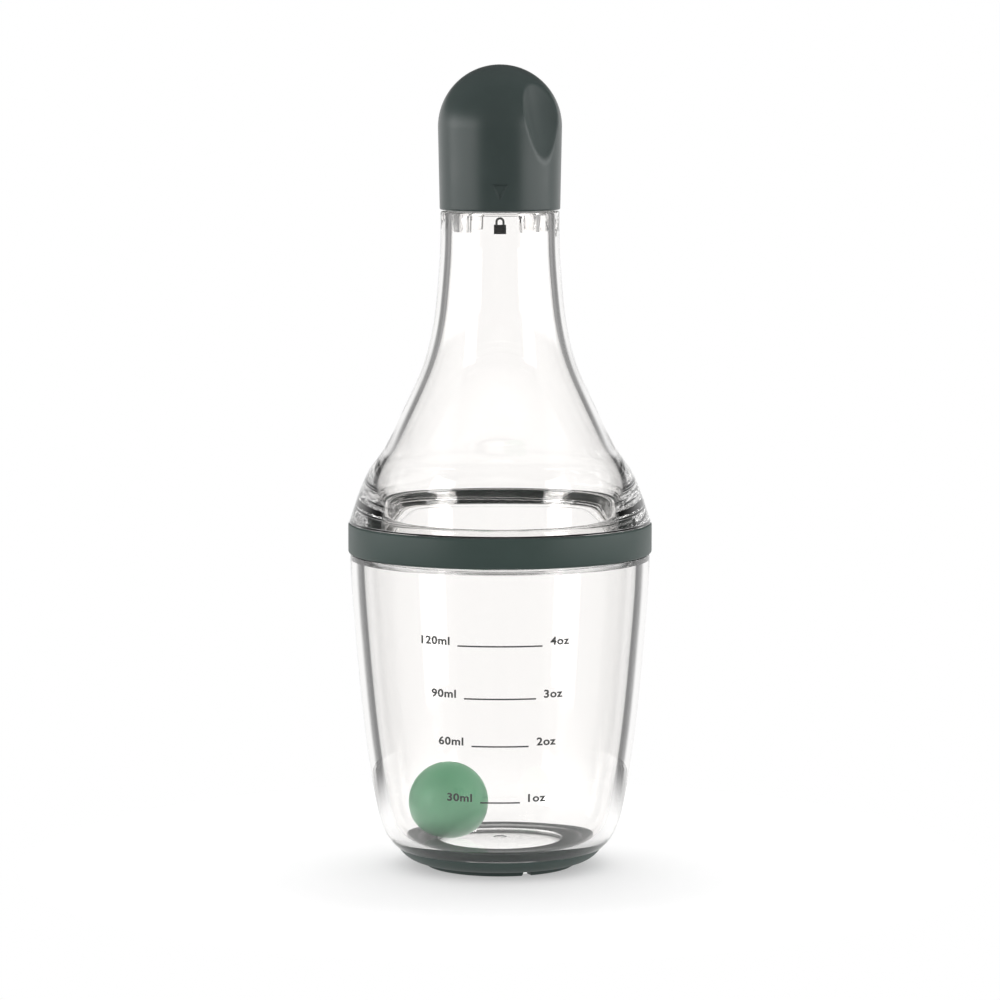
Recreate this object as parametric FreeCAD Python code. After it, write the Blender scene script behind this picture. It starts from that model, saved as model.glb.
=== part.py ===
import FreeCAD, Part
import math
import os

# Dressing shaker bottle. A clear cup and a clear bell-shaped upper body screw together on a
# dark seal band, a twist cap with a plug closes the neck, a foot ring is bonded under the cup
# and a loose ball mixes the dressing.
# Millimetres, +Z up, origin at the centre of the base, printed front towards -Y.

# Foot ring under the cup
foot_height = 4.35
foot_inset = 0.2
foot_slope_width = 5.1
foot_belly_share = 0.24
foot_step_height = 1.1
foot_step_width = 1.3
foot_stand_width = 2.5
foot_recess = 1.2
drain_width = 2.0
drain_height = 0.8
drain_angle = 21.0

# Clear cup
cup_body_height = 67.75
cup_base_r = 23.7
cup_rim_inset = 0.45
cup_wall = 3.0
cup_floor = 1.55
cup_floor_inset = 3.1
cup_lip_round = 0.3
cup_shoulder = 1.6
gate_r = 1.6
gate_depth = 0.3
boss_clearance = 0.1
# Height and radius of the cup's side, as shares from its base to its rim
cup_side_shares = (
    (0.0, 0.0),
    (0.03, 0.18),
    (0.07, 0.315),
    (0.135, 0.43),
    (0.27, 0.585),
    (0.48, 0.755),
    (0.70, 0.885),
    (0.90, 0.980),
)

# Threaded collar of the cup
collar_inset = 5.8
collar_wall = 1.6
collar_height = 7.5
collar_round = 0.6
thread_starts = 2
thread_lead = 6.0
thread_angle = 150.0
thread_start_angle = 20.0
ridge_height = 0.9
ridge_root_width = 1.5
ridge_crest_width = 0.7
ridge_root_sink = 0.3
ridge_above_flange = 1.9
thread_clearance = 0.3
thread_end_angle = 4.0

# Seal band between cup and bell, the widest piece
band_r = 34.65
band_height = 7.0
band_round = 0.6
band_clearance = 0.3

# Clear bell
bell_height = 70.9
bell_skirt_inset = 0.2
bell_neck_r = 13.5
bell_wall = 2.45
bell_skirt_wall = 2.8
bell_bore_height = 4.9
bell_rim_round = 0.4
spigot_wall = 3.6
spigot_clearance = 0.3
# Height and radius of the bell's side, as shares from its skirt to its neck rim
bell_side_shares = (
    (0.0, 0.0),
    (0.076, 0.086),
    (0.140, 0.172),
    (0.182, 0.250),
    (0.224, 0.356),
    (0.281, 0.460),
    (0.408, 0.666),
    (0.520, 0.823),
    (0.633, 0.919),
    (0.753, 0.967),
    (0.873, 0.995),
)
# How many of these lie beside the straight bore, below the curve of the bell's inside
bell_skirt_point_count = 3

# Twist cap: shell, plug and gasket
cap_gap = 0.3
cap_height = 32.7
cap_overhang = 0.17
cap_draft = 0.38
cap_edge_round = 0.3
cap_socket_wall = 1.07
cap_ledge = 2.0
gasket_height = 0.9
gasket_clearance = 0.2
plug_reach = 0.9
plug_wall = 1.5
plug_clearance = 0.3
plug_flange = 2.0
plug_seat_clearance = 0.1

# Tabs under the plug, two more with lugs, and the sloping grooves in the neck bore for the lugs
tab_reach = 4.6
tab_angle = 24.0
tab_count = 4
tab_first_angle = -52.0
lug_count = 2
lug_tab_angle = 16.0
lug_lead = 60.0
lug_angle = 10.0
lug_height = 1.4
lug_engage = 0.3
lug_above_tab = 1.1
lug_clearance = 0.2
lug_end_angle = 3.0
lug_first_angle = -98.0

# Thumb dimples and arrow mark on the cap
dimple_angles = (47.0, 227.0)
dimple_below_top = 12.3
dimple_depth = 2.2
dimple_across_r = 11.9
dimple_length = 40.0
dimple_bulge = 1.0
dimple_tilt = 14.0
arrow_width = 3.4
arrow_height = 3.2
arrow_above_edge = 2.8
arrow_depth = 0.4

# Loose mixing ball
ball_r = 9.1
ball_x = -11.8
ball_y = -2.0

# One overrun for all cuts, and the distance under which two points are one
overrun = 1.0
same_point = 1e-6

# Heights and radii that follow
cup_rim_r = band_r - cup_rim_inset
bell_skirt_r = band_r - bell_skirt_inset
collar_root_r = cup_rim_r - collar_inset
mouth_r = collar_root_r - collar_wall
cup_floor_r = cup_base_r - cup_floor_inset
foot_top_r = cup_base_r - foot_inset
foot_step_r = foot_top_r - foot_slope_width
foot_stand_r = foot_step_r - foot_step_width
foot_bore_r = foot_stand_r - foot_stand_width
boss_r = foot_bore_r - boss_clearance
cap_skirt_r = bell_neck_r + cap_overhang
cap_r = cap_skirt_r + cap_draft
cap_socket_r = cap_skirt_r - cap_socket_wall
cap_hollow_r = cap_socket_r - cap_ledge
flange_z = foot_height + cup_body_height
floor_z = foot_height + cup_floor
shoulder_z = flange_z - cup_shoulder
band_top_z = flange_z + band_height
mouth_z = flange_z + collar_height
bell_top_z = band_top_z + bell_height
bell_bore_r = collar_root_r + thread_clearance
spigot_r = bell_bore_r + spigot_wall
spigot_z = flange_z + spigot_clearance
band_bore_r = spigot_r + band_clearance
neck_bore_r = bell_neck_r - bell_wall
thread_z = flange_z + ridge_above_flange
cap_z = bell_top_z + cap_gap
cap_top_z = cap_z + cap_height
plug_r = neck_bore_r - plug_clearance
plug_z = bell_top_z - plug_reach
tab_z = bell_top_z - tab_reach
gasket_top_z = bell_top_z + gasket_height
ledge_z = gasket_top_z + plug_flange
lug_r = neck_bore_r + lug_engage
lug_z = tab_z + lug_above_tab

up = FreeCAD.Vector(0, 0, 1)
centre = FreeCAD.Vector(0, 0, 0)
full_turn = 360.0


def at(r, z):
    """Point of an outline, at a radius and a height."""
    return FreeCAD.Vector(r, 0, z)


def chain(*corners):
    """Edges through the corners, each (radius, height, rounding), rounded by tangent arcs."""
    edges = []
    last = at(corners[0][0], corners[0][1])
    for i, (r, z, rounding) in enumerate(corners[1:], start=1):
        corner = at(r, z)
        if rounding == 0:
            start, end = corner, corner
        else:
            after = at(corners[i + 1][0], corners[i + 1][1])
            back = (last - corner).normalize()
            on = (after - corner).normalize()
            half = back.getAngle(on) / 2
            start = corner + back * (rounding / math.tan(half))
            end = corner + on * (rounding / math.tan(half))
            middle = corner + (back + on).normalize() * (rounding / math.sin(half) - rounding)
        if not last.isEqual(start, same_point):
            edges.append(Part.LineSegment(last, start).toShape())
        if rounding != 0:
            edges.append(Part.Arc(start, middle, end).toShape())
        last = end
    return edges


def smooth(points, first=None, last=None):
    """One smooth curve through the points, with both end directions or neither."""
    curve = Part.BSplineCurve()
    if first is None:
        curve.interpolate(points)
    else:
        curve.interpolate(Points=points, InitialTangent=first, FinalTangent=last)
    return curve.toShape()


def turned(edges):
    """Solid of revolution about Z from a closed outline in the XZ plane."""
    face = Part.Face(Part.Wire(Part.__sortEdges__(edges)))
    solid = face.revolve(centre, up, full_turn)
    if solid.Volume < 0:
        solid.reverse()
    return solid


def tube(r_in, r_out, z_low, z_high, rounding=0):
    """Ring with its outer edges rounded."""
    return turned(chain((r_in, z_low, 0), (r_out, z_low, rounding), (r_out, z_high, rounding),
                        (r_in, z_high, 0), (r_in, z_low, 0)))


def coil(section, lead, angle, start_angle, z):
    """Section, corners of (radius, height), carried up a helix through an angle."""
    points = [at(r, h) for r, h in section]
    helix = Part.makeHelix(lead, lead * angle / full_turn, section[0][0])
    profile = Part.makePolygon(points + points[:1])
    solid = Part.Wire(helix).makePipeShell([profile], True, True)
    solid.rotate(centre, up, start_angle)
    solid.translate(up * z)
    if solid.Volume < 0:
        solid.reverse()
    return solid


def save(shape, name):
    """One solid to its own file, cleaned of split faces."""
    shape = shape.removeSplitter()
    solids = shape.Solids
    print(name, "solids", len(solids), "valid", shape.isValid(), "mm3", round(shape.Volume))
    solids[0].exportStep(os.path.join("parts", name + ".step"))


def front_azimuth(angle):
    """Turn about Z that brings +X to this angle from the front, counted towards +X."""
    return angle - 90.0


def make_foot_ring():
    """Dished ring with a stepped standing rim, a bore for the cup's boss and a drain notch."""
    top = at(foot_top_r, foot_height)
    step = at(foot_step_r, foot_step_height)
    chord = step - top
    outward = FreeCAD.Vector(-chord.z, 0, chord.x).normalize()
    belly = (top + step) * (1 / 2) + outward * (chord.Length * foot_belly_share / 2)
    edges = [Part.Arc(top, belly, step).toShape()]
    edges += chain((foot_step_r, foot_step_height, 0), (foot_stand_r, foot_step_height, 0),
                   (foot_stand_r, 0, 0), (foot_bore_r, 0, 0), (foot_bore_r, foot_height, 0),
                   (foot_top_r, foot_height, 0))
    ring = turned(edges)
    notch = Part.makeBox(foot_stand_width + 2 * overrun, drain_width, drain_height + overrun)
    notch.translate(FreeCAD.Vector(foot_bore_r - overrun, -drain_width / 2, -overrun))
    notch.rotate(centre, up, front_azimuth(drain_angle))
    return ring.cut(notch)


def cup_side(height_share, radius_share):
    """Point on the cup's side."""
    r = cup_base_r + (cup_rim_r - cup_base_r) * radius_share
    return at(r, foot_height + cup_body_height * height_share)


def cup_inside():
    """Points of the cup's inside, a wall away, square to the line through each point's neighbours."""
    side = [cup_side(h, r) for h, r in cup_side_shares] + [at(cup_rim_r, flange_z)]
    points = []
    for before, here, after in zip(side, side[1:], side[2:]):
        along = (after - before).normalize()
        points.append(here + FreeCAD.Vector(-along.z, 0, along.x) * cup_wall)
    return points


def ridge_section(clearance, r_root):
    """Trapezoid of the thread ridge, grown by a clearance."""
    half_root = ridge_root_width / 2 + clearance
    half_crest = ridge_crest_width / 2 + clearance
    r_crest = collar_root_r + ridge_height + clearance
    slope = (half_root - half_crest) / ridge_height
    half_foot = half_root + slope * (collar_root_r + clearance - r_root)
    return ((r_root, -half_foot), (r_crest, -half_crest), (r_crest, half_crest),
            (r_root, half_foot))


def thread_angles():
    """Start angle of each thread start, counted about Z."""
    return [thread_start_angle + full_turn * i / thread_starts for i in range(thread_starts)]


def make_cup():
    """Flared cup with a flat floor, a boss under it, a shoulder and a threaded collar."""
    lip_start_z = flange_z - cup_lip_round
    outside = [cup_side(h, r) for h, r in cup_side_shares] + [at(cup_rim_r, lip_start_z)]
    inside_top = at(cup_rim_r - cup_wall, shoulder_z)
    edges = chain((0, foot_recess, 0), (boss_r, foot_recess, 0), (boss_r, foot_height, 0),
                  (cup_base_r, foot_height, 0))
    edges.append(smooth(outside))
    edges += chain((cup_rim_r, lip_start_z, 0), (cup_rim_r, flange_z, cup_lip_round),
                   (collar_root_r, flange_z, 0), (collar_root_r, mouth_z, collar_round),
                   (mouth_r, mouth_z, collar_round), (mouth_r, shoulder_z, collar_round),
                   (inside_top.x, shoulder_z, 0))
    edges.append(smooth([at(cup_floor_r, floor_z)] + cup_inside() + [inside_top]))
    edges += chain((cup_floor_r, floor_z, 0), (gate_r, floor_z, 0),
                   (gate_r, floor_z - gate_depth, 0), (0, floor_z - gate_depth, 0),
                   (0, foot_recess, 0))
    cup = turned(edges)
    section = ridge_section(0, collar_root_r - ridge_root_sink)
    for angle in thread_angles():
        cup = cup.fuse(coil(section, thread_lead, thread_angle, angle, thread_z))
    return cup


def make_band_seal():
    """Seal band, a ring standing on the cup's flange round the bell's spigot."""
    return tube(band_bore_r, band_r, flange_z, band_top_z, band_round)


def bell_side(height_share, radius_share, inset):
    """Point on the bell's side, moved in by a wall."""
    r = bell_skirt_r + (bell_neck_r - bell_skirt_r) * radius_share
    return at(r - inset, band_top_z + bell_height * height_share)


def make_bell():
    """Bell with a long neck, thread grooves in its spigot and lug grooves in its neck."""
    rim_start_z = bell_top_z - bell_rim_round
    bore_top = at(bell_bore_r, band_top_z + bell_bore_height)
    outside = [bell_side(h, r, 0) for h, r in bell_side_shares] + [at(bell_neck_r, rim_start_z)]
    skirt_share, *upper_shares = bell_side_shares[bell_skirt_point_count:]
    inside = [bell_side(*skirt_share, bell_skirt_wall)]
    inside += [bell_side(h, r, bell_wall) for h, r in upper_shares]
    edges = [smooth(outside, outside[1] - outside[0], up)]
    edges += chain((bell_neck_r, rim_start_z, 0), (bell_neck_r, bell_top_z, bell_rim_round),
                   (neck_bore_r, bell_top_z, bell_rim_round), (neck_bore_r, rim_start_z, 0))
    edges.append(smooth([bore_top] + inside + [at(neck_bore_r, rim_start_z)], up, up))
    edges += chain((bell_bore_r, bore_top.z, 0), (bell_bore_r, spigot_z, 0), (spigot_r, spigot_z, 0),
                   (spigot_r, band_top_z, 0), (bell_skirt_r, band_top_z, 0))
    bell = turned(edges)

    # Thread grooves run from below the spigot to just past the ridges' upper ends
    entry_angle = full_turn * (ridge_above_flange + ridge_root_width + overrun) / thread_lead
    groove_angle = entry_angle + thread_angle + thread_end_angle
    section = ridge_section(thread_clearance, bell_bore_r - ridge_root_sink)
    for angle in thread_angles():
        groove_z = thread_z - thread_lead * entry_angle / full_turn
        bell = bell.cut(coil(section, thread_lead, groove_angle, angle - entry_angle, groove_z))

    # Lug grooves climb from the lugs' seats to past the neck rim
    half = lug_height / 2 + lug_clearance
    section = ((plug_r, -half), (lug_r + lug_clearance, -half), (lug_r + lug_clearance, half),
               (plug_r, half))
    seat_z = lug_z - lug_lead * lug_end_angle / full_turn
    climb = bell_top_z - seat_z + half + overrun
    for angle in around(lug_first_angle, lug_count):
        groove = coil(section, lug_lead, full_turn * climb / lug_lead, angle - lug_end_angle, seat_z)
        bell = bell.cut(groove)
    return bell


def around(first_angle, count):
    """Angles about Z, evenly spaced, from this one counted from the front."""
    return [front_azimuth(first_angle) + full_turn * i / count for i in range(count)]


def make_cap_seal():
    """Flat gasket on the neck rim, round the plug."""
    return tube(plug_r + plug_clearance, cap_socket_r - gasket_clearance, bell_top_z, gasket_top_z)


def make_cap_plug():
    """Closed flange that seats in the cap, a short plug under it, and tabs with lugs."""
    flange_r = cap_socket_r - plug_seat_clearance
    inner_r = plug_r - plug_wall
    plug = turned(chain((0, gasket_top_z, 0), (inner_r, gasket_top_z, 0), (inner_r, plug_z, 0),
                        (plug_r, plug_z, 0), (plug_r, gasket_top_z, 0), (flange_r, gasket_top_z, 0),
                        (flange_r, ledge_z, 0), (0, ledge_z, 0), (0, gasket_top_z, 0)))
    corners = [at(inner_r, tab_z), at(plug_r, tab_z), at(plug_r, plug_z), at(inner_r, plug_z)]
    tab_face = Part.Face(Part.makePolygon(corners + corners[:1]))
    half = lug_height / 2
    sunk_r = plug_r - plug_clearance
    section = ((sunk_r, -half), (lug_r, -half), (lug_r, half), (sunk_r, half))
    lug_starts = around(lug_first_angle, lug_count)
    tabs = [(angle - tab_angle / 2, tab_angle) for angle in around(tab_first_angle, tab_count)]
    tabs += [(angle - (lug_tab_angle - lug_angle) / 2, lug_tab_angle) for angle in lug_starts]
    for start, width in tabs:
        tab = tab_face.revolve(centre, up, width)
        tab.rotate(centre, up, start)
        plug = plug.fuse(tab)
    for angle in lug_starts:
        plug = plug.fuse(coil(section, lug_lead, lug_angle, angle, lug_z))
    return plug


def dimple_cutter(angle):
    """Barrel lying along the cap's side, leaning in with the dome."""
    half = dimple_length / 2
    middle_r = cap_r - dimple_depth + dimple_across_r
    end_r = dimple_across_r - dimple_bulge
    side = Part.Arc(at(end_r, -half), at(dimple_across_r, 0), at(end_r, half)).toShape()
    barrel = turned([side] + chain((end_r, half, 0), (0, half, 0), (0, -half, 0), (end_r, -half, 0)))
    barrel.rotate(centre, FreeCAD.Vector(0, 1, 0), -dimple_tilt)
    barrel.translate(FreeCAD.Vector(middle_r, 0, cap_top_z - dimple_below_top))
    barrel.rotate(centre, up, front_azimuth(angle))
    return barrel


def make_cap_shell():
    """Domed shell with a socket for the plug, two thumb dimples and a sunk arrow."""
    dome_z = cap_top_z - cap_r
    diagonal = math.sqrt(1 / 2)
    edges = chain((cap_socket_r, cap_z, 0), (cap_skirt_r, cap_z, cap_edge_round), (cap_r, dome_z, 0))
    edges.append(Part.Arc(at(cap_r, dome_z), at(cap_r * diagonal, dome_z + cap_r * diagonal),
                          at(0, cap_top_z)).toShape())
    hollow_top = at(0, dome_z + cap_hollow_r)
    hollow_side = at(cap_hollow_r * diagonal, dome_z + cap_hollow_r * diagonal)
    edges.append(Part.LineSegment(at(0, cap_top_z), hollow_top).toShape())
    edges.append(Part.Arc(hollow_top, hollow_side, at(cap_hollow_r, dome_z)).toShape())
    edges += chain((cap_hollow_r, dome_z, 0), (cap_hollow_r, ledge_z, 0), (cap_socket_r, ledge_z, 0),
                   (cap_socket_r, cap_z, 0))
    shell = turned(edges)
    for angle in dimple_angles:
        shell = shell.cut(dimple_cutter(angle))

    # Arrow pointing down at the front, sunk to an even depth by a copy of the cap's side
    tip_z = cap_z + arrow_above_edge
    corners = [FreeCAD.Vector(0, 0, tip_z), FreeCAD.Vector(arrow_width / 2, 0, tip_z + arrow_height),
               FreeCAD.Vector(-arrow_width / 2, 0, tip_z + arrow_height)]
    triangle = Part.Face(Part.makePolygon(corners + corners[:1]))
    prism = triangle.extrude(FreeCAD.Vector(0, -cap_r - overrun, 0))
    core = Part.makeCone(cap_skirt_r - arrow_depth, cap_r - arrow_depth, dome_z - cap_z)
    core.translate(up * cap_z)
    return shell.cut(prism.cut(core))


def make_mixing_ball():
    """Ball lying on the cup's floor."""
    ball = Part.makeSphere(ball_r)
    ball.translate(FreeCAD.Vector(ball_x, ball_y, floor_z + ball_r))
    return ball


os.makedirs("parts", exist_ok=True)
save(make_foot_ring(), "foot_ring")
save(make_cup(), "cup")
save(make_band_seal(), "band_seal")
save(make_bell(), "bell")
save(make_cap_seal(), "cap_seal")
save(make_cap_plug(), "cap_plug")
save(make_cap_shell(), "cap_shell")
save(make_mixing_ball(), "mixing_ball")
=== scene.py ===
"""Clear dressing shaker bottle: a cup and a bell of clear plastic, screwed together on a seal band,
with a twist cap, a foot ring, a mixing ball and printed volume marks.

Every piece is a surface worked out with numpy around the solids of the frame, in metres, +Z up,
with the printed front towards -Y.
"""
import math

import bpy
import numpy as np
from bpy.props import FloatProperty, FloatVectorProperty, PointerProperty
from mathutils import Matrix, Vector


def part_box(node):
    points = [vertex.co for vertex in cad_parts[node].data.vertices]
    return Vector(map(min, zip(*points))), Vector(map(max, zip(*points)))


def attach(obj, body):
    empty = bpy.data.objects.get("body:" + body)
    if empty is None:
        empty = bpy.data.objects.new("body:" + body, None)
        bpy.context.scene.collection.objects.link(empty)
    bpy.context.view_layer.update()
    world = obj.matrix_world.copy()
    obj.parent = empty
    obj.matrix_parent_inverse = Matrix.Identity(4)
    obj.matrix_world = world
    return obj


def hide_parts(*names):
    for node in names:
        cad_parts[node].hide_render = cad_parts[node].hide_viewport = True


bl_info = {
    "name": "Dressing shaker bottle",
    "version": (1, 0, 0),
    "blender": (4, 5, 0),
    "location": "3D View > Sidebar > Bottle",
    "description": "Builds the pieces of a clear dressing shaker bottle around its solids",
    "category": "Object",
}

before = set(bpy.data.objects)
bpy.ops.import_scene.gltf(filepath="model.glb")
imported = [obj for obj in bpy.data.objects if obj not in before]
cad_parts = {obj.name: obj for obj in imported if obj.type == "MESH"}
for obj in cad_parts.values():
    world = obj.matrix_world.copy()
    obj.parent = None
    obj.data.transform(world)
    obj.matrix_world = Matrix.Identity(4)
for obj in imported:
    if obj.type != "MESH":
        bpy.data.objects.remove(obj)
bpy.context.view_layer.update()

MM = 0.001
FRONT = -math.pi / 2

# Lowest and highest corner of each solid
FOOT, CUP, BAND, BELL, GASKET, PLUG, CAP, BALL = (
    np.array(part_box(node))
    for node in ("foot_ring", "cup", "band_seal", "bell", "cap_seal", "cap_plug", "cap_shell",
                 "mixing_ball")
)

# Height and radius of the cup's side, as shares from its base to its rim
CUP_SIDE_SHARES = np.array((
    (0.0, 0.0), (0.03, 0.18), (0.07, 0.315), (0.135, 0.43), (0.27, 0.585), (0.48, 0.755),
    (0.70, 0.885), (0.90, 0.980),
))
# Height and radius of the bell's side, as shares from its skirt to its neck rim
BELL_SIDE_SHARES = np.array((
    (0.0, 0.0), (0.076, 0.086), (0.140, 0.172), (0.182, 0.250), (0.224, 0.356), (0.281, 0.460),
    (0.408, 0.666), (0.520, 0.823), (0.633, 0.919), (0.753, 0.967), (0.873, 0.995),
))
# How many of its first points lie round the straight bore
BELL_SKIRT_POINTS = 3
THREAD_STARTS = 2
TAB_COUNT = 4
LUG_COUNT = 2
DIMPLE_COUNT = 2
# Words left and right of each volume line, from the lowest
VOLUME_MARKS = (("30ml", "1oz"), ("60ml", "2oz"), ("90ml", "3oz"), ("120ml", "4oz"))

# Height of the built-in font's figures for a text of size one, how much wider and bolder they are
# set, their spacing and the steps of their curves
FIGURE_HEIGHT = 0.682
WORD_STRETCH = 1.15
WORD_BOLDNESS = 0.028
WORD_SPACING = 1.08
WORD_CURVE_STEPS = 4

# Fineness of the meshes
COLUMNS = 288
FINE_COLUMNS = 576
CAP_COLUMNS = 400
BALL_COLUMNS = 144
FLOOR_COLUMNS = 64
ARC_POINTS = 6
SHACKLE_POINTS = 17
LINE_POINTS = 25
SIDE_ROWS = 80
BELL_ROWS = 100
BELLY_ROWS = 20
DOME_ROWS = 60
HOLLOW_STEP = 4
THREAD_ROWS = 60
FLAT_ROWS = 12
BORE_ROWS = 8
SHARP_EDGE = math.radians(35)
# Points that are nearer than this are one point
SAME_POINT = 1e-7
# How far in and out of the cap's plain side a dimple's surface is looked for, by how many halvings
DIMPLE_REACH = 5 * MM
DIMPLE_HALVINGS = 20

# What each kind of ray sees of the empty studio, where 1 is white
ROOM_LEVELS = {"mirrored": 0.12, "straight": 0.3, "inside": 0.9, "scattered": 0.6}
# Lights and dark cards of the studio: the rays that see one, what it adds to their level, the four
# angles aside, in degrees from straight behind the bottle, and the four rises, as sines of the
# elevation, at which it starts to fade in, is full, starts to fade out and has gone; None where it
# doesn't fade
EVERYWHERE = (None, None, None, None)
SOFTBOX = ((66, 78, 132, 144), (-0.16, -0.04, 0.14, 0.26))
LAMP_ASIDE = (110, 114, 132, 136)
EDGE_CARD_RISE = (None, None, 0.0, 0.6)
STUDIO = {
    "sweep": ("mirrored", 0.88, (None, None, 60, 75), (None, None, 0.1, 0.25)),
    "softbox on outer faces": ("mirrored", 3.5, *SOFTBOX),
    "backdrop": ("straight", 0.84, EVERYWHERE, (None, None, 0.1, 0.3)),
    "backdrop inside walls": ("inside", 0.05, (None, None, 18, 30), (None, None, 0.12, 0.25)),
    "low lamp": ("inside", 7.0, LAMP_ASIDE, (-0.32, -0.28, -0.15, -0.11)),
    "high lamp": ("inside", 7.0, LAMP_ASIDE, (0.11, 0.15, 0.48, 0.52)),
    "softbox inside walls": ("inside", 0.3, *SOFTBOX),
    "edge card": ("inside", -0.82, (22, 32, 38, 48), EDGE_CARD_RISE),
    "pale edge card": ("inside", -0.574, (38, 48, 51, 61), EDGE_CARD_RISE),
    "low side card": ("inside", -0.82, (50, 60, None, None), (None, None, 0.0, 0.12)),
    "high front card": ("inside", -0.82, (105, 120, None, None), (0.0, 0.12, None, None)),
    "low back card": ("inside", -0.8, (None, None, 8, 14), (-0.04, 0.02, 0.32, 0.38)),
    "sky": ("scattered", 0.4, EVERYWHERE, (-0.25, 0.1, None, None)),
    "overhead softbox": ("scattered", 1.2, (None, None, 50, 80), (0.25, 0.45, None, None)),
    "softbox on matt faces": ("scattered", 0.6, *SOFTBOX),
}

# Levels of the floor, where 1 is white: its paint, its own glow, the painted patch of light inside
# the foot ring and the glow that lights other things, then the plain white farther off, and what
# reflected rays see of it near the bottle, far from it and on the painted dark cards
FLOOR_PAINT = 0.5
FLOOR_GLOW = 0.4
FOOT_PAINTED_LIGHT = 1.4
SCATTERED_GLOW = 0.2
FLOOR_WHITE = 1.14
MIRRORED_NEAR = 0.25
MIRRORED_FAR = 0.85
MIRRORED_PAINTED_CARD = 0.1
# Degrees aside between which the floor's painted dark side card fades in and out, and its painted
# dark front card fades in
FLOOR_PAINTED_CARDS = ((34, 42), (64, 54), (75, 95))

# Light is reflected many times inside the thick walls before it leaves them
LIGHT_BOUNCES = 64


def linear(hex_colour):
    """Linear colour of an sRGB hex value."""
    srgb = np.array([int(hex_colour[i:i + 2], 16) for i in (1, 3, 5)]) / 255
    return tuple(np.where(srgb <= 0.04045, srgb / 12.92, ((srgb + 0.055) / 1.055) ** 2.4))


def length(name, description, millimetres):
    """Length property, written in millimetres and kept in metres."""
    return FloatProperty(name=name, description=description, default=millimetres * MM,
                         unit="LENGTH", precision=5)


def turn(name, description, degrees):
    """Angle property, written in degrees and kept in radians."""
    return FloatProperty(name=name, description=description, default=math.radians(degrees),
                         subtype="ANGLE", unit="ROTATION")


def colour(name, description, hex_colour):
    """Colour property, written as an sRGB hex value and kept linear."""
    return FloatVectorProperty(name=name, description=description, default=linear(hex_colour),
                               size=3, subtype="COLOR", min=0, max=1)


class FootSizes(bpy.types.PropertyGroup):
    """Silicone ring under the cup."""
    slope_width: length("Slope width", "Width of the bellied side", 5.1)
    belly: length("Belly", "How far the side swells from straight", 0.73)
    step_height: length("Step height", "Height of the standing rim", 1.1)
    step_width: length("Step width", "Ledge above the standing rim", 1.3)
    stand_width: length("Stand width", "Width of the standing rim", 2.5)
    edge_round: length("Edge rounding", "Rounding of the standing rim", 0.25)
    bond: length("Bond", "Depth of the bond line in the cup's base", 0.05)
    drain_width: length("Drain width", "Width of the notch in the standing rim", 2.0)
    drain_height: length("Drain height", "Height of the notch", 0.8)
    drain_angle: turn("Drain angle", "Angle of the notch from the front", 21.0)


class CupSizes(bpy.types.PropertyGroup):
    """Clear cup and its threaded collar."""
    base_radius: length("Base radius", "Outer radius where the cup meets the foot", 23.7)
    wall: length("Wall", "Thickness of the side", 3.0)
    floor: length("Floor", "Thickness of the floor", 1.55)
    floor_inset: length("Floor inset", "Flat floor's edge, in from the base radius", 3.1)
    lip_round: length("Lip rounding", "Rounding of the lip under the band", 0.3)
    shoulder: length("Shoulder", "Thickness of the shoulder under the band", 1.6)
    gate_radius: length("Gate radius", "Radius of the moulding gate's mark", 1.6)
    gate_depth: length("Gate depth", "Depth of the moulding gate's mark", 0.3)
    boss_radius: length("Boss radius", "Radius of the boss inside the foot ring", 14.5)
    collar_inset: length("Collar inset", "Thread's root, in from the rim", 5.8)
    collar_height: length("Collar height", "Height of the collar above the rim", 7.5)
    collar_wall: length("Collar wall", "Thickness of the collar behind the thread", 1.6)
    collar_round: length("Collar rounding", "Rounding of the mouth", 0.6)


class ThreadSizes(bpy.types.PropertyGroup):
    """Thread that holds the bell on the cup."""
    lead: length("Lead", "Rise in one turn", 6.0)
    span: turn("Span", "Angle that each ridge covers", 150.0)
    start: turn("Start", "Angle where the first ridge starts", 20.0)
    ridge: length("Ridge", "Height of the ridges", 0.9)
    root_width: length("Root width", "Width of a ridge at its root", 1.5)
    crest_width: length("Crest width", "Width of a ridge at its crest", 0.7)
    above_rim: length("Above rim", "Height where each ridge starts above the cup's rim", 1.9)
    clearance: length("Clearance", "Play between ridge and groove", 0.3)
    run_out: turn("Run-out", "Angle over which ridges, lugs and grooves fade at their ends", 4.0)


class SealSizes(bpy.types.PropertyGroup):
    """Seal band and cap gasket."""
    band_round: length("Band rounding", "Rounding of the band's outer edges", 0.6)
    gasket_round: length("Gasket rounding", "Rounding of the gasket's outer edges", 0.2)


class BellSizes(bpy.types.PropertyGroup):
    """Clear bell with its neck."""
    neck_radius: length("Neck radius", "Outer radius of the neck", 13.5)
    wall: length("Wall", "Thickness of the side, measured level", 2.45)
    skirt_wall: length("Skirt wall", "Thickness above the skirt's bore, measured level", 2.8)
    bore_height: length("Bore height", "Height of the straight bore above the band", 4.9)
    spigot_wall: length("Spigot wall", "Thickness of the spigot behind the band", 3.6)
    spigot_gap: length("Spigot gap", "Space under the spigot's end", 0.3)
    rim_round: length("Rim rounding", "Rounding of the neck's rim", 0.4)


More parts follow.
